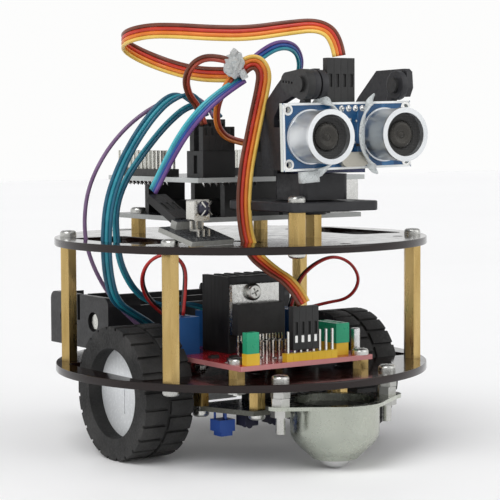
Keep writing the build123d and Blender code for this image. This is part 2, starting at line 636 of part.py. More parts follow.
def shield_pin_places():
    """The grid places of the shield's upright pins."""
    left = [(-22.9 + row * PITCH, 14.0 + i * PITCH) for row in range(3) for i in range(12)]
    middle = [(-6.5 + i * PITCH, 14.0 + row * PITCH) for row in range(3) for i in range(14)]
    return left + middle


def shield():
    """The wiring shield with the housings plugged into its front boxes."""
    x0, x1, y0, y1 = SHIELD_BOX
    save("shield_board", block((x0, x1), (y0, y1), (SHIELD_BOTTOM, SHIELD_TOP)))
    plugs = [housing(-20.6 + i * PITCH, -8.9, 101.0, 8.0) for i in range(5)]
    plugs += [housing(-20.6 + i * PITCH, -3.4, 101.0, 10.5) for i in range(5)]
    plugs += [housing(0.8 + i * PITCH, -8.9, 95.4) for i in range(5)]
    save("jumper_plugs", *plugs, *driver_plugs(), *tracker_plugs(), *receiver_plugs())


def tracker_plugs():
    return [housing(-9.5 + i * PITCH, -17.0, TRACKER_TOP + 2.6, 6.0) for i in range(5)]


def all_headers():
    """The black bodies of every pin header and socket on the controller, the shield and
    the tracker."""
    z = (CONTROLLER_TOP, SHIELD_BOTTOM)
    bodies = [block((-12.5, 9.8), (-8.9, -6.4), z), block((11.4, 31.8), (-8.9, -6.4), z)]
    bodies += [block((-12.5, 2.8), (39.4, 41.9), z), block((7.0, 27.4), (39.4, 41.9), z)]
    z = (SHIELD_TOP, SHIELD_TOP + 2.5)
    bodies += [block((-24.1 + i * PITCH, -21.7 + i * PITCH), (12.8, 43.2), z) for i in range(3)]
    bodies += [block((-7.7, 27.8), (12.8 + i * PITCH, 15.2 + i * PITCH), z) for i in range(3)]
    box = block((-22.0, -9.2), (-10.4, -0.6), (SHIELD_TOP, 101.0))
    bodies.append(box - block((-22.5, -21.0), (-6.9, -4.7), (93.5, 99.5)))
    bodies.append(block((-0.6, 13.0), (-10.4, -5.0), (SHIELD_TOP, 95.4)))
    bodies.append(block((-10.8, 2.0), (-18.25, -15.75), (TRACKER_TOP, TRACKER_TOP + 2.5)))
    save("header_bodies", *bodies)


# ---------------------------------------------------------------- receiver


def receiver_place(shape, lean=RECEIVER_LEAN):
    """Move a shape drawn from the receiver's front corner to its place on the deck."""
    x, y = RECEIVER_CORNER
    return Pos(x, y, UPPER_TOP + 0.05) * Rot(0, 0, RECEIVER_TURN) * Rot(lean, 0, 0) * shape


def receiver():
    """The remote-control receiver: its sloping board and its shielded eye on bent legs."""
    board = block((0, RECEIVER_WIDE), (0, RECEIVER_DEEP), (0, BOARD_THICK))
    board += block((4.0, 15.0), (11.6, 14.1), (BOARD_THICK, BOARD_THICK + 2.5))
    save("receiver_board", receiver_place(board))
    eye = block((5.0, 12.0), (3.6, 7.0), (7.6, 14.2))
    eye = fillet(eye.edges().filter_by(Axis.Y), 0.7)
    eye -= Pos(9.2, 3.6, 11.4) * Rot(90, 0, 0) * Cylinder(2.4, 1.2)
    legs = []
    for i in range(3):
        x = 6.0 + i * 2.4
        leg = block((x - 0.3, x + 0.3), (5.6, 6.2), (5.0, 7.6))
        leg += block((x - 0.3, x + 0.3), (2.6, 6.2), (4.4, 5.0))
        legs.append(leg + block((x - 0.3, x + 0.3), (2.6, 3.2), (2.7, 5.0)))
    save("receiver_eye", *[receiver_place(s, 0) for s in [eye, *legs]])


def receiver_plugs():
    turned = Pos(0, 14.5, BOARD_THICK + 1.7) * Rot(-75, 0, 0)
    return [receiver_place(turned * housing(7.0 + i * PITCH, 0, 0)) for i in range(3)]


# ---------------------------------------------------------------- turntable and head


def turntable():
    """The fixed table on two posts, with the servo's output horn held in it."""
    x0, x1, y0, y1 = TABLE_BOX
    table = block((x0, x1), (y0, y1), TABLE_Z)
    table = fillet(table.edges().filter_by(Axis.Z), 3.0)
    table += rod(PAN_X, PAN_Y, 80.6, TABLE_Z[0], 5.0)
    for x, y in TABLE_POSTS + [(-12.0, -23.0), (12.0, -50.0)]:
        table -= rod(x, y, TABLE_Z[0] - 1, TABLE_Z[1] + 1, M3_HOLE)
    table -= rod(PAN_X, PAN_Y, 79, TABLE_Z[1] + 1, 2.4)
    save("pan_table", table)
    save("servo_output", rod(PAN_X, PAN_Y, 80.5, 91.0, 2.4))


def servo():
    """The pan servo, hung with its output down: case, ears and output boss."""
    x0, x1, y0, y1 = SERVO_BOX
    case = block((x0, x1), (y0, y1), SERVO_Z)
    case += block((x0 - SERVO_EARS, x1 + SERVO_EARS), (y0, y1), (98.4, 100.9))
    case += rod(PAN_X, PAN_Y, 91.2, SERVO_Z[0], 5.8)
    for x in (x0 - 2.4, x1 + 2.4):
        case -= rod(x, (y0 + y1) / 2, 98, 101.5, 1.0)
    return case


def side_plate(x0, x1, points):
    """A flat plate square to X, from an outline given as (y, z) points."""
    plane = Plane(origin=(x0, 0, 0), x_dir=(0, 1, 0), z_dir=(1, 0, 0))
    return extrude(plane * make_face(Polyline(*points, close=True)), amount=x1 - x0)


def pivot_eye(x0, x1, radius):
    return axle(x0, x1, TILT_Y, TILT_Z, radius)


def pan_bracket():
    """The turning bracket: a turret round the servo's output, a back wall behind the
    servo, and an arm on each side that reaches forward to the tilt pivot."""
    x0, x1, y0, y1 = TURRET_BOX
    turret = block((x0, x1), (y0, y1), TURRET_Z)
    turret = fillet(turret.edges().filter_by(Axis.Z), 2.0)
    back = SERVO_BOX[3] + 0.3
    wall = block((HORN_ARM[0], PLAIN_ARM[1]), (back, back + 2.4), (97.0, 112.0))
    wall += block((x0, x1), (back, y1), (TURRET_Z[1] - 1, 98.0))
    horn = [(-30.8, 95.0), (-31.4, 112.0), (-34.6, 117.6), (-40.8, 122.2), (-46.0, 125.6),
            (-62.8, 126.5), (-61.5, 118.1), (-49.5, 118.1), (-42.6, 116.0), (-38.6, 111.6),
            (-38.6, 108.6), (-42.8, 108.6), (-42.8, 95.0)]
    plain = [(-30.8, 97.0), (-30.8, 110.0), (-39.0, 118.4), (-49.5, 126.6), (-65.0, 126.8),
             (-66.5, 125.8), (-67.0, 120.8), (-65.4, 118.0), (-58.5, 118.0), (-46.0, 109.0),
             (-42.8, 103.0), (-42.8, 97.0)]
    body = turret + wall + side_plate(*HORN_ARM, horn) + side_plate(*PLAIN_ARM, plain)
    body += pivot_eye(*HORN_ARM, 4.5)
    body -= pivot_eye(HORN_ARM[0] - 1, HORN_ARM[1] + 1, 1.55)
    body -= pivot_eye(PLAIN_ARM[0] - 1, PLAIN_ARM[1] + 1, 1.55)
    body -= rod(PAN_X, PAN_Y, 84, 92, 2.5)
    x0, x1, y0, y1 = SERVO_BOX
    body -= rod(PAN_X, PAN_Y, 91.1, 95, 5.9)
    ears = ((x0 - SERVO_EARS - 0.1, x1 + SERVO_EARS + 0.1), (y0 - 0.1, y1 + 0.1), (98.3, 101.0))
    return body - block(*ears)


def cradle_ears():
    """The x range of each cradle ear: outside the horn-side arm, and inside the plain one."""
    horn_side = HORN_ARM[0] - PIVOT_GAP
    plain_side = PLAIN_ARM[0] - PIVOT_GAP
    return (horn_side - EAR_THICK, horn_side), (plain_side - EAR_THICK, plain_side)


def cradle():
    """The tilting cradle: a plate behind the sensor, with an ear up to each pivot."""
    near, far = cradle_ears()
    body = block((near[0], far[1]), (-61.8, -60.0), (103.0, 112.0))
    outline = [(-61.8, 103.0), (-58.0, 103.0), (-58.0, 115.0), (-60.2, 120.0), (-62.2, 118.0),
               (-61.8, 112.0)]
    for ear in (near, far):
        body += side_plate(*ear, outline) + pivot_eye(*ear, 4.6)
        body -= pivot_eye(ear[0] - 1, ear[1] + 1, 1.3)
    return body


def tilt_horn():
    """The servo horn screwed to the outside of the cradle's horn-side ear."""
    outer = cradle_ears()[0][0]
    plane = Plane(origin=(outer - 2.6, 0, 0), x_dir=(0, 1, 0), z_dir=(1, 0, 0))
    hub = Pos(TILT_Y, TILT_Z) * Circle(4.7)
    tip = Pos(TILT_Y + 8.8, TILT_Z + 0.9) * Circle(3.0)
    horn = extrude(plane * make_hull((hub + tip).edges()), amount=2.6)
    for i in range(4):
        horn -= axle(outer - 3, outer - 1.6, TILT_Y + 5.2 + i * 1.7, TILT_Z + 0.6 + i * 0.15, 0.45)
    return horn - pivot_eye(outer - 3, outer + 1, 1.3)


def tilt_pins():
    """The two pivot screws, fixed in the cradle's ears and turning in the arms."""
    near, far = cradle_ears()
    head = near[0] - 2.6
    first = pivot_eye(head - 0.9, head, 2.4) + pivot_eye(head, near[1], 1.3)
    first += pivot_eye(near[1], HORN_ARM[1] - 0.2, 1.5)
    second = pivot_eye(far[0] - 1.2, far[0], 2.4) + pivot_eye(far[0], far[1], 1.3)
    second += pivot_eye(far[1], PLAIN_ARM[1] - 0.2, 1.5)
    return first, second


def sensor_place(shape):
    """Set a sensor part out of level by SONAR_ROLL, and then turn it with the head."""
    middle = Pos(SONAR_X, SONAR_Y, sum(SONAR_Z) / 2)
    back = Pos(-SONAR_X, -SONAR_Y, -sum(SONAR_Z) / 2)
    return head_turn(middle * Rot(0, SONAR_ROLL, 0) * back * shape)


def can(x):
    """One transducer can, open at the front."""
    middle = (SONAR_Z[0] + SONAR_Z[1]) / 2
    front = SONAR_Y - CAN_LENGTH

    def disc(near, far, radius):
        return Pos(x, (near + far) / 2, middle) * Rot(90, 0, 0) * Cylinder(radius, near - far)

    shell = disc(SONAR_Y, front, CAN_RADIUS) + disc(front + 1.4, front, CAN_RADIUS + 0.3)
    shell += disc(SONAR_Y, SONAR_Y - 1.0, CAN_RADIUS + 0.4)
    return shell - disc(SONAR_Y - 3.0, front - 1, 6.7), disc(front + 2.2, front + 1.2, 6.7)


def sensor_ties():
    """Two cable ties, on edge beside the cans and flat where they go round the board."""
    y0, y1 = SONAR_Y - 0.1, -58.8
    z0, z1 = SONAR_Z[0] - 1.1, SONAR_Z[1] + 1.1
    rows = [
        [(-7.6, z1), (-2.9, 112.0), (-3.4, 104.0), (-5.0, 100.5), (-8.0, 96.5), (-9.6, z0)],
        [(8.0, z1), (6.2, 111.9), (4.75, 109.9), (3.7, 106.0), (4.75, 102.0), (6.2, 100.0),
         (9.0, 98.0), (10.6, z0)],
    ]
    front = Plane(origin=(SONAR_X, y0, 0), x_dir=(1, 0, 0), z_dir=(0, -1, 0))
    behind = Plane(origin=(SONAR_X, y1, 0), x_dir=(1, 0, 0), z_dir=(0, -1, 0))
    ties = []
    for row in rows:
        ends = [row[0], row[-1]]
        outline = [(x - 0.6, z) for x, z in row] + [(x + 0.6, z) for x, z in reversed(row)]
        tie = extrude(front * make_face(Polyline(*outline, close=True)), amount=2.4)
        for x, z in ((ends[0][0], z1 - 1.0), (ends[1][0], z0)):
            tie += block((SONAR_X + x - 1.2, SONAR_X + x + 1.2), (y0 - 2.4, y1), (z, z + 1.0))
        outline = [(x - 1.2, z) for x, z in ends] + [(x + 1.2, z) for x, z in reversed(ends)]
        tie += extrude(behind * make_face(Polyline(*outline, close=True)), amount=1.0)
        ties.append(tie)
    ties[0] += block((SONAR_X - 17.2, SONAR_X - 9.6), (y0 - 2.4, y0), (z0, z0 + 1.0))
    ties[0] += block((SONAR_X - 17.2, SONAR_X - 12.2), (y0 - 2.6, y0 + 1.5), (z0 - 3.4, z0 + 0.2))
    return ties


def head():
    save("pan_servo", head_turn(servo()))
    save("pan_bracket", head_turn(pan_bracket()))
    save("sensor_cradle", head_turn(cradle()))
    save("tilt_horn", head_turn(tilt_horn()))
    save("tilt_pins", *[head_turn(p) for p in tilt_pins()])
    half = SONAR_WIDE / 2
    board = block((SONAR_X - half, SONAR_X + half), (SONAR_Y, SONAR_Y + BOARD_THICK), SONAR_Z)
    for sx, sz in corners(half - 1.9, 8.35):
        hole = Pos(SONAR_X + sx, SONAR_Y, sum(SONAR_Z) / 2 + sz) * Rot(90, 0, 0)
        board -= hole * Cylinder(0.9, 5)
    save("sonar_board", sensor_place(board))
    shells, grilles = zip(*[can(SONAR_X + CANS_X + s * CAN_SPACING / 2) for s in (-1, 1)])
    save("sonar_cans", *[sensor_place(s) for s in shells])
    save("sonar_grilles", *[sensor_place(g) for g in grilles])
    outline = Pos(SONAR_X + 0.9, 98.6) * SlotOverall(10.0, 4.5)
    crystal = extrude(Plane.XZ.offset(-SONAR_Y) * outline, amount=2.6)
    save("sonar_crystal", sensor_place(crystal))
    back = SONAR_Y + BOARD_THICK
    strip = block((PLUG_X - 5.0, PLUG_X + 5.0), (back, back + 2.5), (112.6, 115.1))
    plugs = [housing(PLUG_X + (i - 1.5) * PITCH, back + 1.5, 115.9) for i in range(4)]
    save("sonar_plug", head_turn(strip), *[head_turn(p) for p in plugs])
    save("sensor_ties", *[sensor_place(t) for t in sensor_ties()])


# ---------------------------------------------------------------- wires


def bundle(diameter, *points):
    """A round bundle along a hand-laid route, with a smooth bend at every inner point."""
    route = [Vector(*p) for p in points]
    radii = []
    for before, here, after in zip(route, route[1:], route[2:]):
        first = here - before
        second = after - here
        half = math.radians(first.get_angle(second)) / 2
        radii.append(0.45 * min(first.length, second.length) / math.tan(half))
    path = FilletPolyline(*route, radius=radii)
    start = Plane(origin=route[0], z_dir=route[1] - route[0])
    return sweep(start * Circle(diameter / 2), path=path)


def wires():
    save("sonar_ribbon", bundle(RIBBON, *SONAR_ROUTE))
    save("driver_ribbon", bundle(RIBBON, *DRIVER_ROUTE))
    save("receiver_ribbon", bundle(TRIPLE, *RECEIVER_ROUTE))
    save("tracker_ribbon", bundle(TRIPLE, *TRACKER_ROUTE))
    save("servo_ribbon", bundle(TRIPLE, *SERVO_ROUTE))
    leads = [bundle(LEAD, *route) for route in LEAD_ROUTES]
    save("loose_wires", *leads, *[bundle(WIRE, *route) for route in SIGNAL_ROUTES])


decks()
deck_posts()
machine_screws()
machine_nuts()
all_spacers()
drive()
caster()
tracker()
driver()
battery_holder()
controller()
shield()
all_headers()
all_pins()
receiver()
turntable()
head()
wires()
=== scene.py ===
import bpy
import bmesh
import json
import math
from mathutils import Matrix, Vector, noise


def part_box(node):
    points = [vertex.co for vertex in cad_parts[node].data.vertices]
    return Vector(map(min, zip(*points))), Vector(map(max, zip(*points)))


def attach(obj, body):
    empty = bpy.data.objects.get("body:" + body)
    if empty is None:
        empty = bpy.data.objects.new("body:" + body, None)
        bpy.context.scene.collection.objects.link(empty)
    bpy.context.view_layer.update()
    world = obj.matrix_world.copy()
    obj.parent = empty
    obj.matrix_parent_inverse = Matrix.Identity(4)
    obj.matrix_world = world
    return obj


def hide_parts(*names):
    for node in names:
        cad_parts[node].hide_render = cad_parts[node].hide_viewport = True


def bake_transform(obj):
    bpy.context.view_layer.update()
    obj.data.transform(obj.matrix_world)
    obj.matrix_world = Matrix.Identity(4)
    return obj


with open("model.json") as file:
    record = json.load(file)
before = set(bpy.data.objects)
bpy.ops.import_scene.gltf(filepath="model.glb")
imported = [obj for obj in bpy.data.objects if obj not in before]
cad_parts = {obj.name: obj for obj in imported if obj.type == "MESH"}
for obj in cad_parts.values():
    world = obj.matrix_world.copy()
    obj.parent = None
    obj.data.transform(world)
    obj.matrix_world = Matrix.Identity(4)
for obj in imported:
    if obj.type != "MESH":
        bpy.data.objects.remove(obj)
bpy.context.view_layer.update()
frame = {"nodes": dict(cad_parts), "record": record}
nodes = frame["nodes"]
scene = bpy.context.scene

# ---------------------------------------------------------------- camera

EYE = Vector((-0.33634, -0.48265, 0.1072))
BACK = Vector((-0.56997, -0.81887, 0.067736)).normalized()
ROLL = math.radians(-0.267)
SENSOR_WIDTH_MM = 36
LENS_MM = 125.19
NEAREST = 0.01


def add_camera():
    """The camera at EYE, looking against BACK, turned by ROLL about its own axis."""
    side = Vector((0, 0, 1)).cross(BACK).normalized()
    up = BACK.cross(side)
    right = side * math.cos(ROLL) + up * math.sin(ROLL)
    up = BACK.cross(right)
    data = bpy.data.cameras.new("camera")
    data.sensor_width = SENSOR_WIDTH_MM
    data.lens = LENS_MM
    data.clip_start = NEAREST
    camera = bpy.data.objects.new("camera", data)
    scene.collection.objects.link(camera)
    turn = Matrix((right, up, BACK)).transposed().to_4x4()
    camera.matrix_world = Matrix.Translation(EYE) @ turn
    scene.camera = camera


add_camera()

# ---------------------------------------------------------------- cord routes, in metres

ROUTES = {
    "sonar": [
        (-0.0046, -0.05477, 0.1305), (-0.0055, -0.05427, 0.1366), (-0.0096, -0.05087, 0.1402),
        (-0.0165, -0.04467, 0.1394), (-0.0255, -0.03587, 0.1378), (-0.033, -0.02637, 0.1382),
        (-0.0395, -0.01637, 0.1392), (-0.044, -0.00637, 0.1396), (-0.0468, 0.00313, 0.1382),
        (-0.0437, 0.01073, 0.1362), (-0.0362, 0.01393, 0.1333), (-0.0287, 0.01073, 0.1299),
        (-0.0252, 0.00013, 0.127), (-0.0226, -0.01087, 0.1256), (-0.0195, -0.02187, 0.1256),
    ],
    "driver": [
        (-0.0210, -0.0224, 0.1256), (-0.0186, -0.0241, 0.1290), (-0.0150, -0.0256, 0.1297),
        (-0.0126, -0.0262, 0.1262), (-0.0130, -0.0253, 0.1205), (-0.0141, -0.02427, 0.114),
        (-0.0168, -0.02447, 0.104),
        (-0.019, -0.02427, 0.094), (-0.0195, -0.02367, 0.082), (-0.018, -0.02467, 0.0695),
        (-0.0133, -0.02887, 0.0635), (-0.0075, -0.03487, 0.0585), (-0.0052, -0.03687, 0.0522),
    ],
    "receiver": [
        (-0.0194, -0.02337, 0.124), (-0.0285, -0.02167, 0.1185), (-0.036, -0.01767, 0.1095),
        (-0.0404, -0.01307, 0.0995), (-0.0438, -0.00827, 0.0884),
    ],
    "servo": [
        (-0.017, -0.02387, 0.1285), (-0.011, -0.02417, 0.1332), (-0.003, -0.02337, 0.1358),
        (0.0045, -0.02117, 0.134), (0.0088, -0.01717, 0.1275), (0.0082, -0.00987, 0.1205),
        (0.0066, -0.00387, 0.1158), (0.0059, -0.00277, 0.1099),
    ],
    "tracker": [
        (-0.0169, 0.00273, 0.1122), (-0.018, 0.00453, 0.1172), (-0.022, 0.00613, 0.1198),
        (-0.0276, 0.00753, 0.1186), (-0.0335, 0.00933, 0.1126), (-0.0394, 0.01093, 0.104),
        (-0.0444, 0.01213, 0.0945), (-0.0484, 0.01233, 0.084), (-0.0502, 0.01113, 0.072),
        (-0.05, 0.01053, 0.061), (-0.0465, 0.01213, 0.0515), (-0.038, 0.01563, 0.047),
        (-0.029, 0.01913, 0.0425), (-0.021, 0.02073, 0.036), (-0.0145, 0.02063, 0.029),
    ],
    "purple": [
        (-0.013, 0.00273, 0.112), (-0.0138, 0.00573, 0.117), (-0.019, 0.00973, 0.12),
        (-0.0276, 0.01413, 0.117), (-0.0365, 0.01893, 0.11), (-0.044, 0.02273, 0.1),
        (-0.049, 0.02533, 0.088), (-0.05, 0.02613, 0.0755), (-0.0482, 0.02573, 0.0655),
        (-0.0425, 0.02613, 0.055), (-0.0355, 0.02563, 0.0465), (-0.027, 0.02433, 0.039),
        (-0.0188, 0.02273, 0.0314),
    ],
    "teal": [
        (-0.0105, 0.00273, 0.112), (-0.012, 0.00613, 0.116), (-0.018, 0.00993, 0.1166),
        (-0.025, 0.01333, 0.11), (-0.0315, 0.01613, 0.1015), (-0.0385, 0.01813, 0.0915),
        (-0.0423, 0.01843, 0.0815), (-0.042, 0.01813, 0.071), (-0.0403, 0.01813, 0.062),
        (-0.034, 0.01843, 0.0525), (-0.025, 0.01713, 0.048), (-0.016, 0.01473, 0.0494),
        (-0.0098, 0.01213, 0.0466),
    ],
    "russet": [
        (-0.024, -0.02267, 0.1298), (-0.0282, -0.01887, 0.1315), (-0.0313, -0.01317, 0.1295),
        (-0.031, -0.00767, 0.1245), (-0.0273, -0.00407, 0.1193), (-0.0226, -0.00247, 0.1156),
        (-0.0206, -0.00277, 0.1097),
    ],
    "orange": [
        (-0.0224, -0.02157, 0.1245), (-0.0248, -0.01917, 0.1193), (-0.0244, -0.01547, 0.113),
        (-0.0205, -0.01167, 0.1075), (-0.0125, -0.00727, 0.1043), (-0.0018, -0.00387, 0.1031),
    ],
    "lead_right": [
        (-0.027, 0.00133, 0.0466), (-0.0258, 0.00113, 0.0555), (-0.0256, 0.00153, 0.0636),
        (-0.0306, 0.00353, 0.0676), (-0.0363, 0.00693, 0.0652), (-0.037, 0.01133, 0.0585),
        (-0.0315, 0.01573, 0.051), (-0.022, 0.01933, 0.045), (-0.0128, 0.02043, 0.038),
        (-0.0085, 0.02043, 0.029),
    ],
    "lead_left": [
        (0.0175, 0.00163, 0.0466), (0.0195, 0.00063, 0.0555), (0.0255, -0.00137, 0.0615),
        (0.033, -0.00337, 0.0643), (0.0405, -0.00417, 0.061), (0.045, -0.00287, 0.0545),
        (0.0435, 0.00163, 0.048), (0.037, 0.00713, 0.0465), (0.029, 0.01363, 0.0435),
        (0.0205, 0.01863, 0.038), (0.013, 0.02053, 0.029),
    ],
}

# ---------------------------------------------------------------- materials


class Nodes:
    """A small helper that adds shader nodes and links them."""

    def __init__(self, name):
        self.material = bpy.data.materials.new(name)
        self.material.use_nodes = True
        self.tree = self.material.node_tree
        self.shader = self.tree.nodes["Principled BSDF"]
        self.place = self.add("ShaderNodeTexCoord").outputs["Object"]

    def add(self, kind, **values):
        node = self.tree.nodes.new(kind)
        for key, value in values.items():
            if hasattr(node, key):
                setattr(node, key, value)
            else:
                node.inputs[key.replace("_", " ")].default_value = value
        return node

    def link(self, output, target):
        self.tree.links.new(output, target)

    def noise(self, scale, detail=3.0, stretch=None):
        node = self.add("ShaderNodeTexNoise", Scale=scale, Detail=detail)
        place = self.place
        if stretch:
            mapping = self.add("ShaderNodeMapping")
            mapping.inputs["Scale"].default_value = stretch
            self.link(place, mapping.inputs["Vector"])
            place = mapping.outputs["Vector"]
        self.link(place, node.inputs["Vector"])
        return node.outputs["Fac"]

    def ramp(self, value, low, high):
        node = self.add("ShaderNodeMapRange")
        node.inputs["From Min"].default_value = 0.3
        node.inputs["From Max"].default_value = 0.7
        node.inputs["To Min"].default_value = low
        node.inputs["To Max"].default_value = high
        self.link(value, node.inputs["Value"])
        return node.outputs["Result"]

    def mix(self, factor, a, b):
        node = self.add("ShaderNodeMix", data_type="RGBA")
        self.link(factor, node.inputs[0])
        for value, target in ((a, node.inputs[6]), (b, node.inputs[7])):
            if isinstance(value, tuple):
                target.default_value = (*value, 1.0)
            else:
                self.link(value, target)
        return node.outputs[2]

    def maths(self, operation, a, b):
        node = self.add("ShaderNodeMath", operation=operation)
        for value, target in ((a, node.inputs[0]), (b, node.inputs[1])):
            if isinstance(value, (int, float)):
                target.default_value = value
            else:
                self.link(value, target)
        return node.outputs[0]

    def bump(self, height, strength, distance=0.0002):
        node = self.add("ShaderNodeBump", Strength=strength, Distance=distance)
        self.link(height, node.inputs["Height"])
        self.link(node.outputs["Normal"], self.shader.inputs["Normal"])


TRACK_LENGTH = 0.0117
TRACK_PITCH = 0.00191
TRACK_GAP = 0.00022
TRACK_EDGE = 0.2
COAT_ROUGHNESS = 0.12
GLOSS = 0.35
EDGE_SHARE = 0.6


def surface(name, low, high, rough=(0.35, 0.55), metal=0.0, scale=60, grain=900,
            bump=0.15, coat=0.0, stretch=None, pale=None, tracks=None, through=0.0):
    """A finish that varies between two colours, with grain, and optional brushed
    stretch, pale board edges, board tracks, and light passing through."""
    n = Nodes(name)
    broad = n.noise(scale, 4.0, stretch)
    colour = n.mix(n.ramp(broad, 0.0, 1.0), low, high)
    fine = n.noise(grain, 3.0, stretch)
    if tracks:
        brick = n.add("ShaderNodeTexBrick", offset=0.37, Scale=1.0)
        brick.inputs["Brick Width"].default_value = TRACK_LENGTH
        brick.inputs["Row Height"].default_value = TRACK_PITCH
        brick.inputs["Mortar Size"].default_value = TRACK_GAP
        brick.inputs["Mortar Smooth"].default_value = TRACK_EDGE
        n.link(n.place, brick.inputs["Vector"])
        patch = n.ramp(n.noise(170, 1.0), -0.3, 0.9)
        lines = n.maths("MULTIPLY", brick.outputs["Fac"], patch)
        colour = n.mix(lines, colour, tracks)
    if pale:
        axis, tone = pale
        split = n.add("ShaderNodeSeparateXYZ")
        n.link(n.add("ShaderNodeNewGeometry").outputs["True Normal"], split.inputs[0])
        flat = n.maths("ABSOLUTE", split.outputs[axis], 0.0)
        colour = n.mix(n.maths("LESS_THAN", flat, EDGE_SHARE), colour, tone)
    n.link(colour, n.shader.inputs["Base Color"])
    n.link(n.ramp(fine, *rough), n.shader.inputs["Roughness"])
    n.shader.inputs["Metallic"].default_value = metal
    n.shader.inputs["Coat Weight"].default_value = coat
    n.shader.inputs["Coat Roughness"].default_value = COAT_ROUGHNESS
    n.shader.inputs["Specular IOR Level"].default_value = GLOSS
    n.shader.inputs["Transmission Weight"].default_value = through
    n.bump(fine, bump)
    return n.material


WEAVE_SCALE = 620.0


def mesh_grille(name):
    """The fine black weave of the dishes in the sensor's cans."""
    n = Nodes(name)
    wave = []
    for axis in ("X", "Z"):
        node = n.add("ShaderNodeTexWave", Scale=WEAVE_SCALE, wave_type="BANDS", bands_direction=axis)
        n.link(n.place, node.inputs["Vector"])
        wave.append(node.outputs["Fac"])
    weave = n.maths("MAXIMUM", *wave)
    colour = n.mix(n.ramp(weave, 0.0, 1.0), (0.045, 0.043, 0.04), (0.012, 0.012, 0.012))
    n.link(colour, n.shader.inputs["Base Color"])
    n.shader.inputs["Roughness"].default_value = 0.5
    n.shader.inputs["Metallic"].default_value = 0.3
    n.bump(weave, 0.5)
    return n.material


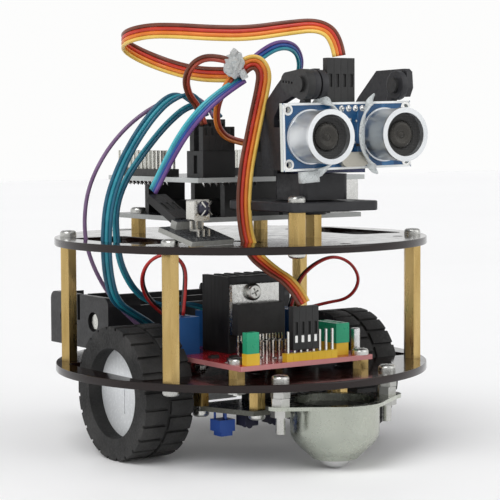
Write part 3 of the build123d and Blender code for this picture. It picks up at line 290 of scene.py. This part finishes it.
MATERIALS = {
    "deck_acrylic": surface("deck_acrylic", (0.006, 0.0025, 0.002), (0.014, 0.006, 0.005),
                            (0.06, 0.16), bump=0.02, scale=14, grain=260),
    "brass": surface("brass", (0.4, 0.27, 0.095), (0.58, 0.42, 0.18), (0.22, 0.38), 1.0,
                     scale=240, bump=0.08, stretch=(1, 1, 0.15)),
    "screw_steel": surface("screw_steel", (0.42, 0.42, 0.4), (0.66, 0.66, 0.63), (0.2, 0.4), 1.0),
    "nut_steel": surface("nut_steel", (0.42, 0.42, 0.4), (0.62, 0.62, 0.6), (0.25, 0.45), 1.0),
    "shaft_steel": surface("shaft_steel", (0.5, 0.5, 0.5), (0.7, 0.7, 0.7), (0.15, 0.3), 1.0,
                           stretch=(0.1, 1, 1)),
    "motor_steel": surface("motor_steel", (0.45, 0.45, 0.45), (0.65, 0.65, 0.64), (0.3, 0.5), 1.0,
                           stretch=(0.1, 1, 1)),
    "gearbox_brass": surface("gearbox_brass", (0.4, 0.28, 0.11), (0.58, 0.44, 0.2), (0.3, 0.5), 1.0),
    "clamp_plastic": surface("clamp_plastic", (0.6, 0.6, 0.58), (0.75, 0.75, 0.73), (0.4, 0.6)),
    "tyre_rubber": surface("tyre_rubber", (0.012, 0.012, 0.012), (0.035, 0.034, 0.033),
                           (0.55, 0.8), scale=130, grain=1500, bump=0.35),
    "rim_plastic": surface("rim_plastic", (0.68, 0.7, 0.72), (0.78, 0.8, 0.81), (0.18, 0.32),
                           bump=0.03, scale=40, coat=0.3),
    "caster_zinc": surface("caster_zinc", (0.36, 0.385, 0.34), (0.55, 0.565, 0.49), (0.2, 0.32), 1.0,
                           scale=22, grain=420, bump=0.02),
    "caster_black": surface("caster_black", (0.02, 0.02, 0.02), (0.04, 0.04, 0.04)),
    "ball_steel": surface("ball_steel", (0.6, 0.6, 0.6), (0.8, 0.8, 0.8), (0.08, 0.2), 1.0,
                          bump=0.02),
    "tracker_pcb": surface("tracker_pcb", (0.012, 0.016, 0.035), (0.02, 0.026, 0.06), (0.2, 0.35),
                           tracks=(0.05, 0.06, 0.12), pale=("Z", (0.12, 0.12, 0.1)), bump=0.03),
    "black_plastic": surface("black_plastic", (0.011, 0.011, 0.011), (0.03, 0.03, 0.03),
                             (0.3, 0.5), bump=0.08),
    "eye_plastic": surface("eye_plastic", (0.012, 0.012, 0.02), (0.04, 0.04, 0.07), (0.1, 0.25)),
    "dial_blue": surface("dial_blue", (0.02, 0.06, 0.3), (0.04, 0.11, 0.42), (0.35, 0.5)),
    "driver_pcb": surface("driver_pcb", (0.36, 0.006, 0.01), (0.52, 0.014, 0.02), (0.14, 0.28),
                          coat=0.3, tracks=(0.62, 0.06, 0.06), pale=("Z", (0.52, 0.2, 0.2)),
                          bump=0.03),
    "chip_case": surface("chip_case", (0.012, 0.012, 0.012), (0.028, 0.028, 0.028), (0.4, 0.6)),
    "terminal_blue": surface("terminal_blue", (0.005, 0.06, 0.2), (0.01, 0.1, 0.32),
                             (0.3, 0.45), bump=0.06),
    "header_yellow": surface("header_yellow", (0.62, 0.38, 0.015), (0.76, 0.5, 0.04), (0.3, 0.5)),
    "jumper_green": surface("jumper_green", (0.01, 0.26, 0.13), (0.02, 0.36, 0.19), (0.25, 0.45)),
    "heatsink_black": surface("heatsink_black", (0.012, 0.012, 0.013), (0.035, 0.035, 0.037),
                              (0.35, 0.55), 0.4, stretch=(1, 1, 0.1)),
    "capacitor_can": surface("capacitor_can", (0.5, 0.5, 0.5), (0.7, 0.7, 0.7), (0.2, 0.4), 1.0),
    "holder_plastic": surface("holder_plastic", (0.012, 0.012, 0.013), (0.034, 0.034, 0.036),
                              (0.3, 0.5), scale=90, bump=0.12),
    "contact_nickel": surface("contact_nickel", (0.5, 0.5, 0.46), (0.75, 0.75, 0.7), (0.2, 0.4), 1.0),
    "controller_pcb": surface("controller_pcb", (0.008, 0.009, 0.012), (0.02, 0.022, 0.028),
                              (0.16, 0.3), tracks=(0.05, 0.055, 0.065),
                              pale=("Z", (0.36, 0.37, 0.36)), bump=0.03),
    "shield_pcb": surface("shield_pcb", (0.01, 0.011, 0.014), (0.024, 0.026, 0.03), (0.16, 0.3),
                          tracks=(0.06, 0.065, 0.07), pale=("Z", (0.5, 0.52, 0.51)), bump=0.03),
    "socket_nickel": surface("socket_nickel", (0.45, 0.45, 0.43), (0.66, 0.66, 0.64), (0.15, 0.35),
                             1.0, bump=0.05),
    "pin_tin": surface("pin_tin", (0.62, 0.62, 0.58), (0.88, 0.87, 0.82), (0.15, 0.3), 1.0),
    "receiver_pcb": surface("receiver_pcb", (0.012, 0.013, 0.016), (0.03, 0.032, 0.036),
                            (0.2, 0.35), tracks=(0.07, 0.075, 0.08),
                            pale=("Z", (0.3, 0.3, 0.28)), bump=0.03),
    "shield_tin": surface("shield_tin", (0.5, 0.49, 0.45), (0.8, 0.79, 0.75), (0.18, 0.38), 1.0,
                          bump=0.08),
    "nylon_black": surface("nylon_black", (0.011, 0.011, 0.013), (0.028, 0.028, 0.031),
                           (0.32, 0.52), scale=110, bump=0.12),
    "servo_blue": surface("servo_blue", (0.008, 0.012, 0.05), (0.018, 0.028, 0.1), (0.15, 0.3),
                          coat=0.3, bump=0.04),
    "horn_black": surface("horn_black", (0.014, 0.014, 0.014), (0.034, 0.034, 0.034), (0.35, 0.55)),
    "sonar_pcb": surface("sonar_pcb", (0.006, 0.05, 0.14), (0.01, 0.08, 0.2), (0.14, 0.28),
                         coat=0.3, tracks=(0.05, 0.2, 0.42), pale=("Y", (0.6, 0.62, 0.58)),
                         bump=0.03),
    "can_aluminium": surface("can_aluminium", (0.56, 0.58, 0.6), (0.74, 0.76, 0.77),
                             (0.28, 0.42), 1.0, scale=35, grain=700, bump=0.05),
    "grille_black": mesh_grille("grille_black"),
    "crystal_steel": surface("crystal_steel", (0.3, 0.29, 0.25), (0.44, 0.42, 0.37), (0.25, 0.42), 1.0,
                             stretch=(0.2, 1, 1)),
    "tie_nylon": surface("tie_nylon", (0.56, 0.6, 0.6), (0.7, 0.73, 0.73), (0.22, 0.4),
                         through=0.25, bump=0.08),
}
WIRE_TONES = {
    "yellow": ((0.66, 0.42, 0.07), (0.78, 0.52, 0.12)),
    "orange": ((0.62, 0.15, 0.015), (0.74, 0.22, 0.03)),
    "red": ((0.42, 0.025, 0.012), (0.55, 0.045, 0.02)),
    "brown": ((0.11, 0.028, 0.014), (0.18, 0.05, 0.025)),
    "aqua": ((0.05, 0.36, 0.42), (0.1, 0.48, 0.55)),
    "teal": ((0.01, 0.18, 0.25), (0.03, 0.27, 0.34)),
    "petrol": ((0.006, 0.07, 0.12), (0.015, 0.11, 0.18)),
    "blue": ((0.008, 0.045, 0.22), (0.014, 0.08, 0.32)),
    "purple": ((0.09, 0.04, 0.17), (0.15, 0.07, 0.25)),
    "mauve": ((0.13, 0.07, 0.15), (0.2, 0.12, 0.23)),
    "russet": ((0.3, 0.04, 0.022), (0.4, 0.065, 0.035)),
    "black": ((0.012, 0.012, 0.012), (0.03, 0.03, 0.03)),
    "scarlet": ((0.36, 0.012, 0.012), (0.48, 0.025, 0.02)),
}
WIRES = {
    name: surface(f"wire_{name}", low, high, (0.26, 0.42), scale=160, bump=0.05, coat=0.15)
    for name, (low, high) in WIRE_TONES.items()
}


def dress_nodes():
    """Every carried-over CAD node takes its own slot's finish."""
    for entry in frame["record"]["subparts"]:
        material = MATERIALS.get(entry["material_slot"])
        if material:
            data = nodes[entry["node"]].data
            data.materials.clear()
            data.materials.append(material)


def repaint(name, material, wanted):
    """Give a second finish to the faces of a CAD node whose centre passes a test."""
    data = nodes[name].data
    data.materials.append(material)
    last = len(data.materials) - 1
    for face in data.polygons:
        if wanted(face.center):
            face.material_index = last


TAB_HEIGHT = 0.0062
TAB_THICK = 0.0017

dress_nodes()
chip_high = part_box("driver_chip")[1]
repaint("tilt_pins", MATERIALS["black_plastic"], lambda c: True)
repaint("driver_chip", MATERIALS["socket_nickel"],
        lambda c: c.z > chip_high.z - TAB_HEIGHT or c.y > chip_high.y - TAB_THICK)


WELD_GAP = 0.00001
EDGE_ANGLE = math.radians(50)


def soften(name, width):
    """Break the sharp edges of a moulded or machined CAD node."""
    node = nodes[name]
    weld = node.modifiers.new("weld", "WELD")
    weld.merge_threshold = WELD_GAP
    bevel = node.modifiers.new("bevel", "BEVEL")
    bevel.width = width
    bevel.segments = 2
    bevel.limit_method = "ANGLE"
    bevel.angle_limit = EDGE_ANGLE
    bevel.use_clamp_overlap = True


for name, width in (
    ("battery_holder", 0.0004), ("pan_servo", 0.0004), ("pan_bracket", 0.0005),
    ("pan_table", 0.0004), ("sensor_cradle", 0.0004), ("tilt_horn", 0.0005),
    ("driver_terminals", 0.0003), ("jumper_plugs", 0.00015), ("sonar_plug", 0.00015),
    ("driver_jumpers", 0.0002), ("driver_heatsink", 0.0002), ("power_jack", 0.0003),
    ("usb_socket", 0.0003), ("receiver_eye", 0.0002), ("sonar_cans", 0.0005),
    ("lower_deck", 0.0002), ("upper_deck", 0.0002), ("deck_posts", 0.0002),
    ("tyre_left", 0.0003), ("tyre_right", 0.0003),
):
    soften(name, width)

# ---------------------------------------------------------------- ribbons and wires


POINTS_PER_RUN = 10


def line_of(route):
    """The smooth line of a route: its points as the control points of a NURBS spline."""
    data = bpy.data.curves.new("route", "CURVE")
    data.dimensions = "3D"
    spline = data.splines.new("NURBS")
    spline.points.add(len(route) - 1)
    for point, place in zip(spline.points, route):
        point.co = (*place, 1.0)
    spline.order_u = 3
    spline.use_endpoint_u = True
    spline.resolution_u = POINTS_PER_RUN
    holder = bpy.data.objects.new("route", data)
    scene.collection.objects.link(holder)
    mesh = bpy.data.meshes.new_from_object(holder)
    points = [v.co.copy() for v in mesh.vertices]
    bpy.data.objects.remove(holder)
    bpy.data.meshes.remove(mesh)
    return points


def add_mesh(name, build, materials, body, smooth=True):
    """A new mesh piece: build fills a bmesh, and the piece rides on a CAD body."""
    work = bmesh.new()
    build(work)
    mesh = bpy.data.meshes.new(name)
    work.to_mesh(mesh)
    work.free()
    for material in materials:
        mesh.materials.append(material)
    if smooth:
        mesh.shade_smooth()
    piece = bpy.data.objects.new(name, mesh)
    scene.collection.objects.link(piece)
    if body:
        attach(piece, body)
    return piece


def tube(work, line, radius, index, offset=None, sides=10):
    """Add a round tube along a line to a bmesh; offset gives each point's shift."""
    rings = []
    reference = None
    for i, here in enumerate(line):
        ahead = (line[min(i + 1, len(line) - 1)] - line[max(i - 1, 0)]).normalized()
        if reference is None:
            reference = ahead.orthogonal().normalized()
        reference = (reference - ahead * reference.dot(ahead)).normalized()
        cross = ahead.cross(reference)
        middle = here + (offset[i] if offset else Vector())
        rings.append([
            work.verts.new(middle + radius * (reference * math.cos(a) + cross * math.sin(a)))
            for a in (2 * math.pi * k / sides for k in range(sides))
        ])
    for low, high in zip(rings, rings[1:]):
        for k in range(sides):
            face = work.faces.new((low[k], low[(k + 1) % sides], high[(k + 1) % sides], high[k]))
            face.material_index = index
    for ring, flip in ((rings[0], True), (rings[-1], False)):
        face = work.faces.new(list(reversed(ring)) if flip else ring)
        face.material_index = index


def sides_along(line, keys):
    """The direction across a flat ribbon at each point; keys are (share, direction)."""
    found = []
    for i in range(len(line)):
        ahead = (line[min(i + 1, len(line) - 1)] - line[max(i - 1, 0)]).normalized()
        share = i / (len(line) - 1)
        wanted = Vector(keys[-1][1])
        for (near, first), (far, last) in zip(keys, keys[1:]):
            if share <= far:
                wanted = Vector(first).lerp(Vector(last), (share - near) / (far - near))
                break
        across = wanted - ahead * wanted.dot(ahead)
        found.append(across.normalized())
    return found


def ribbon(name, route, tones, wire, pitch, keys, node, bodies):
    """A flat ribbon of wires side by side along a route. It rides on its body when it has
    one; with two bodies it rides on neither and stays where it is drawn."""
    line = line_of(route)
    across = sides_along(line, keys)
    middle = (len(tones) - 1) / 2

    def build(work):
        for k in range(len(tones)):
            shift = [a * (k - middle) * pitch for a in across]
            tube(work, line, wire / 2, k, shift)

    body = bodies[0] if len(bodies) == 1 else None
    piece = add_mesh(name, build, [WIRES[t] for t in tones], body)
    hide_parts(node)
    if "tilt_head" in bodies:
        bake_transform(piece)
    elif len(bodies) == 2:
        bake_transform(piece)


FOUR = ("yellow", "orange", "red", "brown")
COOL = ("aqua", "teal", "blue", "purple")
RIGHT = (0.82, -0.57, 0)
FLAT = [(0, (1, 0, 0)), (1, (1, 0, 0))]
HEAD_TO_DECK = ("pan_head", "chassis")
# Each cord's name, tones, wire diameter, pitch, length, directions across, the CAD node
# that it stands for, and its bodies.
CORDS = [
    ("sonar", FOUR, 0.0013, 0.00125, 0.137,
     [(0, (1, 0, 0)), (0.16, (0.6, -0.2, 0.7)), (0.3, (0, 0, 1)), (1, (0, 0, 1))],
     "sonar_ribbon", ("pan_head", "tilt_head")),
    ("driver", FOUR, 0.0013, 0.00125, 0.094,
     [(0, (0.3, -0.3, -1)), (0.06, (-0.3, 0.2, -1)), (0.14, (-1, 0.5, -0.5)),
      (0.3, (-0.8, 0.6, 0)), (1, (-1, 0.1, 0))],
     "driver_ribbon", HEAD_TO_DECK),
    ("receiver", COOL, 0.0013, 0.0012, 0.047, [(0, (0.5, -0.85, 0)), (1, (0, -1, 0))],
     "receiver_ribbon", HEAD_TO_DECK),
    ("servo", COOL[1:], 0.0012, 0.00115, 0.055, [(0, (0, 0.3, 1)), (1, (1, 0, 0))], "servo_ribbon",
     HEAD_TO_DECK),
    ("tracker", ("petrol", "teal", "petrol"), 0.0013, 0.0012, 0.130, [(0, RIGHT), (1, RIGHT)],
     "tracker_ribbon", ("chassis",)),
    ("purple", ("mauve",), 0.0014, 0.0014, 0.129, FLAT, "loose_wires", ("chassis",)),
    ("teal", ("teal", "petrol"), 0.0012, 0.00115, 0.113, [(0, RIGHT), (1, RIGHT)], "loose_wires",
     ("chassis",)),
    ("russet", ("russet", "brown"), 0.0013, 0.0012, 0.039,
     [(0, (0, 0, 1)), (0.5, (-0.7, 0.5, 0)), (1, (-0.8, 0.5, 0))], "loose_wires", HEAD_TO_DECK),
    ("orange", ("russet", "orange"), 0.0012, 0.0011, 0.042,
     [(0, (-0.8, 0.5, 0)), (0.6, (-0.6, 0.4, -0.6)), (1, (0, 0, -1))], "loose_wires",
     HEAD_TO_DECK),
    ("lead_right", ("scarlet", "black"), 0.0011, 0.00112, 0.080, [(0, (0, 1, 0)), (1, (1, 0, 0))],
     "loose_wires", ("chassis",)),
    ("lead_left", ("scarlet", "black"), 0.0011, 0.00112, 0.091, [(0, (0, 1, 0)), (1, (1, 0, 0))],
     "loose_wires", ("chassis",)),
]
for name, tones, wire, pitch, length, keys, node, bodies in CORDS:
    ribbon(f"wire_run_{name}", ROUTES[name], tones, wire, pitch, keys, node, bodies)

# ---------------------------------------------------------------- small pieces

HEAD_YAW = math.radians(-5.0)
HEAD_AXIS = Vector((0.0004, -0.03347, 0.0))
AXLE_Y = 0.00613


def on_car(x, y, z):
    """A point in millimetres from the middle of the axle line, in the shared frame."""
    return Vector((x / 1000, y / 1000 + AXLE_Y, z / 1000))


def on_head(x, y, z):
    """A point drawn square to the car, in millimetres, turned with the head."""
    return HEAD_AXIS + Matrix.Rotation(HEAD_YAW, 3, "Z") @ (on_car(x, y, z) - HEAD_AXIS)


def lathe(work, centre, axis, profile, index=0, sides=28):
    """Turn a profile of (radius, height) in millimetres about an axis through centre."""
    axis = Vector(axis).normalized()
    first = axis.orthogonal().normalized()
    second = axis.cross(first)
    rings = []
    for radius, height in profile:
        middle = centre + axis * height / 1000
        if radius <= 0:
            rings.append([work.verts.new(middle)])
            continue
        rings.append([
            work.verts.new(middle + (first * math.cos(a) + second * math.sin(a)) * radius / 1000)
            for a in (2 * math.pi * k / sides for k in range(sides))
        ])
    for low, high in zip(rings, rings[1:]):
        for k in range(sides):
            j = (k + 1) % sides
            corners = [low[k % len(low)], low[j % len(low)],
                       high[j % len(high)], high[k % len(high)]]
            unique = list(dict.fromkeys(corners))
            if len(unique) > 2:
                work.faces.new(unique).material_index = index


def bar(work, start, end, width, thick, normal, index=0):
    """A thin flat bar from start to end, with its flat side facing normal."""
    along = (end - start).normalized()
    normal = Vector(normal).normalized()
    across = along.cross(normal).normalized() * width / 2
    up = normal * thick / 2
    ends = [[p + a + b for a, b in ((across, up), (-across, up), (-across, -up), (across, -up))]
            for p in (start, end)]
    low, high = [[work.verts.new(v) for v in ring] for ring in ends]
    for k in range(4):
        j = (k + 1) % 4
        work.faces.new((low[k], high[k], high[j], low[j])).material_index = index
    work.faces.new(low).material_index = index
    work.faces.new(list(reversed(high))).material_index = index


FRONT = Matrix.Rotation(HEAD_YAW, 3, "Z") @ Vector((0, -1, 0))
PAINT = surface("print_white", (0.72, 0.74, 0.74), (0.88, 0.9, 0.9), (0.4, 0.6), grain=1500)
SOLDER = surface("solder", (0.68, 0.68, 0.66), (0.9, 0.9, 0.88), (0.12, 0.28), 1.0)
BLACK = MATERIALS["black_plastic"]


BOARD_ROLL = math.radians(-1.3)
BOARD_X = -1.4
BOARD_Z = 105.95
BOARD_FACE_Y = -64.3
PIN_PITCH = 2.54
CANS_MIDDLE = -0.5
CAN_REACH = 13.5
DISH_DEPTH = 9.5


def sonar_point(x, z, out=0.05):
    """A point on the front of the sensor board, which sits slightly out of level."""
    dz = z - BOARD_Z
    return on_head(BOARD_X + x * math.cos(BOARD_ROLL) + dz * math.sin(BOARD_ROLL),
                   BOARD_FACE_Y - out,
                   BOARD_Z - x * math.sin(BOARD_ROLL) + dz * math.cos(BOARD_ROLL))


def sonar_details(work):
    """The sensor board's solder joints, hole rings, pale outline and small parts."""
    for i in range(4):
        lathe(work, sonar_point(-2.2 + i * PIN_PITCH, 114.3), FRONT,
              [(1.0, -0.02), (0.95, 0.08), (0.6, 0.3), (0.3, 0.75), (0, 0.95)], 1)
    for x, z in ((-21.6, 114.3), (21.6, 114.3), (-21.6, 97.6), (21.6, 97.6)):
        lathe(work, sonar_point(x, z), FRONT,
              [(1.0, -0.02), (1.0, 0.1), (1.7, 0.1), (1.7, -0.02)], 1)
    edge = [(-23.1, 95.95), (23.1, 95.95), (23.1, 115.95), (-23.1, 115.95)]
    for (x0, z0), (x1, z1) in zip(edge, edge[1:] + edge[:1]):
        bar(work, sonar_point(x0, z0), sonar_point(x1, z1), 0.0007, 0.00012, FRONT, 0)
    for x, z, size in ((-2.6, 110.9, 0.5), (-1.2, 110.2, 0.4), (0.9, 110.8, 0.5), (3.0, 110.4, 0.4),
                       (-0.6, 104.6, 0.6), (1.9, 103.9, 0.7)):
        lathe(work, sonar_point(x, z), FRONT, [(size, -0.02), (size * 0.9, 0.12), (0, 0.16)], 1, 10)
    for x, z in ((-1.6, 103.2), (1.0, 102.6), (3.4, 103.0)):
        bar(work, sonar_point(x - 0.7, z, 0.25), sonar_point(x + 0.7, z, 0.25), 0.0008, 0.0005,
            FRONT, 2)


add_mesh("sonar_details", sonar_details, [PAINT, SOLDER, BLACK], "tilt_head", smooth=False)


def sonar_faces(work):
    """The woven dish inside each can, with a paler cone in its middle."""
    for side in (-1, 1):
        centre = sonar_point(CANS_MIDDLE + side * CAN_REACH, BOARD_Z, DISH_DEPTH)
        lathe(work, centre, FRONT, [(6.7, 0.9), (6.2, 0.75), (4.9, 0.4), (4.3, 0.1)], 0, 40)
        lathe(work, centre, FRONT, [(4.3, 0.1), (4.0, 0.7), (3.2, 1.0), (2.1, 0.85), (1.5, 0.4),
              (1.0, 0.5), (0.8, 0.9), (0, 1.1)], 1, 40)


CONE = surface("cone_grey", (0.012, 0.012, 0.011), (0.075, 0.07, 0.062), (0.2, 0.35), 0.6,
               scale=45, bump=0.3)
faces = add_mesh("sonar_faces", sonar_faces, [MATERIALS["grille_black"], CONE], "tilt_head")
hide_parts("sonar_grilles")


def receiver_window(work):
    """The receiver's dark domed window, with two crossed strips of its shield."""
    lean = Matrix.Rotation(math.radians(12.6), 3, "Z")
    corner = on_car(-47.0, -41.5, 72.05)
    centre = corner + lean @ (Vector((9.2, 3.0, 11.4)) / 1000)
    out = lean @ Vector((0, -1, 0))
    lathe(work, centre, out, [(2.3, -0.5), (2.3, 0.1), (2.0, 0.6), (1.2, 1.0), (0, 1.15)], 0)
    for turn in (45, 135):
        a = math.radians(turn)
        reach = lean @ Vector((math.cos(a), 0, math.sin(a))) * 0.0031
        bar(work, centre + out * 0.0009 - reach, centre + out * 0.0009 + reach, 0.0006, 0.0003,
            out, 1)


add_mesh("receiver_window", receiver_window, [MATERIALS["eye_plastic"], MATERIALS["shield_tin"]],
         "chassis")


def bundle_tie(work):
    """The crumpled white tie that gathers the wires, and its two short ends."""
    centre = on_car(-21.9, -28.6, 128.8)
    made = bmesh.ops.create_icosphere(work, subdivisions=4, radius=1)
    for vert in made["verts"]:
        way = vert.co.normalized()
        fold = 1 + 0.3 * noise.noise(way * 1.9) + 0.14 * noise.noise(way * 4.2)
        vert.co = centre + Vector((way.x * 0.0031, way.y * 0.0031, way.z * 0.0042)) * fold
    for start, near, far in (
        (on_car(-22.6, -29.6, 131.0), (-0.0004, -0.0004, 0.0012), (0.0004, -0.0006, 0.0021)),
        (on_car(-20.6, -30.6, 126.8), (0.0006, -0.0004, -0.0014), (0.0012, -0.0006, -0.0026)),
    ):
        tube(work, [start, start + Vector(near), start + Vector(far)], 0.0012, 0, sides=7)


add_mesh("bundle_tie", bundle_tie, [MATERIALS["tie_nylon"]], "pan_head", smooth=False)


BAND_SECTION = ((-1, -0.5), (-0.7, -1), (0.7, -1), (1, -0.5), (1, 0.5), (0.7, 1), (-0.7, 1),
                (-1, 0.5))


def band(work, line, across, width, thick):
    """A flat band along a line; across gives its wide direction at each point."""
    rings = []
    for i, here in enumerate(line):
        ahead = (line[min(i + 1, len(line) - 1)] - line[max(i - 1, 0)]).normalized()
        side = (across[i] - ahead * across[i].dot(ahead)).normalized()
        out = ahead.cross(side)
        rings.append([work.verts.new(here + side * width / 2 * a + out * thick / 2 * b)
                      for a, b in BAND_SECTION])
    sides = len(BAND_SECTION)
    for low, high in zip(rings, rings[1:]):
        for k in range(sides):
            work.faces.new((low[k], low[(k + 1) % sides], high[(k + 1) % sides], high[k]))
    work.faces.new(list(reversed(rings[0])))
    work.faces.new(rings[-1])


BAND_WIDTH = 0.0026
BAND_THICK = 0.0008
BUCKLE_HEIGHT = 0.0034


def sensor_bands(work):
    """The two clear ties that hold the sensor board to its cradle, and one buckle."""
    turns = (
        [(-10.6, 115.0, -2.2), (-10.4, 117.0, -0.6), (-9.4, 117.2, 1.4), (-7.2, 115.8, 2.2),
         (-4.6, 111.8, 2.1), (-4.1, 106.0, 1.9), (-5.2, 100.4, 1.8), (-8.6, 96.4, 1.9),
         (-12.4, 94.6, 1.4), (-14.0, 94.4, -1.2)],
        [(9.6, 115.0, -2.2), (9.6, 117.4, -0.6), (8.6, 117.7, 1.4), (6.2, 115.8, 2.9),
         (3.6, 111.6, 3.3), (2.7, 106.4, 3.4), (3.4, 101.0, 3.2), (6.6, 96.3, 2.6),
         (9.6, 94.6, 1.4), (10.4, 94.8, -1.4)],
    )
    for route in turns:
        line = line_of([sonar_point(*point) for point in route])
        middle = sonar_point(CANS_MIDDLE, BOARD_Z)
        across = [FRONT * 0.35 + (point - middle).cross(FRONT).cross(FRONT).normalized() * 0.94
                  for point in line]
        band(work, line, across, BAND_WIDTH, BAND_THICK)
    bar(work, sonar_point(-18.2, 93.6, 1.0), sonar_point(-12.2, 93.9, 1.0),
        BUCKLE_HEIGHT, BAND_WIDTH, FRONT, 0)


bands = add_mesh("sensor_bands", sensor_bands, [MATERIALS["tie_nylon"]], "tilt_head")
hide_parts("sensor_ties")


SPIKE = [(1.0, -0.05), (0.9, 0.2), (0.4, 1.0), (0, 1.6)]
SHIELD_UNDERSIDE = 90.6


def board_details(work):
    """Solder joints under the shield, and small parts on the boards."""
    spikes = [(-22.9 + row * PIN_PITCH, 14.0 + i * PIN_PITCH) for i in range(12)
              for row in range(2)]
    spikes += [(-20.6 + i * PIN_PITCH, -9.0) for i in range(9)]
    for x, y in spikes:
        lathe(work, on_car(x, y, SHIELD_UNDERSIDE), (0, 0, -1), SPIKE, 1, 10)
    for i in range(7):
        x = -28.6 + i * 3.1
        lathe(work, on_car(x, -33.5 + (i % 3) * 1.6, 34.0), (0, 0, 1),
              [(0.9, -0.05), (0.8, 0.15), (0.35, 0.4), (0, 0.5)], 1, 10)
    for x, y in ((-24.5, -30.5), (-21.0, -26.5), (8.6, -24.0), (11.5, -21.5), (-26.0, -22.0)):
        bar(work, on_car(x - 1.6, y, 34.5), on_car(x + 1.6, y, 34.5), 0.0016, 0.001, (0, 0, 1), 2)
    for i in range(1, 5):
        x = -12.8 + PIN_PITCH * i + 1.27
        bar(work, on_car(x, -44.05, 40.0), on_car(x, -44.05, 42.2), 0.001, 0.0004,
            (0, -1, 0), 1)
    for x, y in ((-9.0, -36.5), (-1.5, -37.2), (4.5, -35.8)):
        bar(work, on_car(x - 1.0, y, 34.4), on_car(x + 1.0, y, 34.4), 0.0012, 0.0008, (0, 0, 1), 0)


add_mesh("board_details", board_details, [PAINT, SOLDER, BLACK], "chassis", smooth=False)

# ---------------------------------------------------------------- floor and light


FLOOR_REACH = 3.0


def add_floor():
    """A flat pale floor that reaches well past the car."""
    work = bmesh.new()
    corners = ((-1, -1), (1, -1), (1, 1), (-1, 1))
    work.faces.new([work.verts.new((x * FLOOR_REACH, y * FLOOR_REACH, 0)) for x, y in corners])
    mesh = bpy.data.meshes.new("floor")
    work.to_mesh(mesh)
    work.free()
    mesh.materials.append(surface("floor_white", (0.93, 0.93, 0.93), (0.95, 0.95, 0.95),
                                  (0.5, 0.7), scale=2, grain=30, bump=0.0))
    floor = bpy.data.objects.new("floor", mesh)
    scene.collection.objects.link(floor)


def add_sun(name, height, around, power, spread):
    """A soft sun; around is its compass side, counted from +Y towards -X."""
    data = bpy.data.lights.new(name, "SUN")
    data.angle = math.radians(spread)
    data.energy = power
    light = bpy.data.objects.new(name, data)
    up, turn = math.radians(height), math.radians(around)
    place = Vector((-math.sin(turn) * math.cos(up), math.cos(turn) * math.cos(up), math.sin(up)))
    light.rotation_euler = (-place).to_track_quat("-Z", "Y").to_euler()
    light.location = place
    scene.collection.objects.link(light)


def add_world():
    """A white horizon with a darker dome overhead, so that metal has something to show."""
    world = bpy.data.worlds.new("studio")
    world.use_nodes = True
    tree = world.node_tree
    split = tree.nodes.new("ShaderNodeSeparateXYZ")
    tree.links.new(tree.nodes.new("ShaderNodeTexCoord").outputs["Generated"], split.inputs[0])
    ramp = tree.nodes.new("ShaderNodeValToRGB")
    tree.links.new(split.outputs["Z"], ramp.inputs["Fac"])
    ramp.color_ramp.elements[0].position = 0.2
    ramp.color_ramp.elements[0].color = (0.98, 0.98, 0.975, 1)
    ramp.color_ramp.elements[1].position = 0.6
    ramp.color_ramp.elements[1].color = (0.38, 0.38, 0.39, 1)
    tree.links.new(ramp.outputs["Color"], tree.nodes["Background"].inputs["Color"])
    scene.world = world


add_floor()
add_world()
add_sun("key", 52, 118, 1.75, 40)
add_sun("fill", 35, 215, 0.7, 60)
scene.view_settings.view_transform = "Standard"
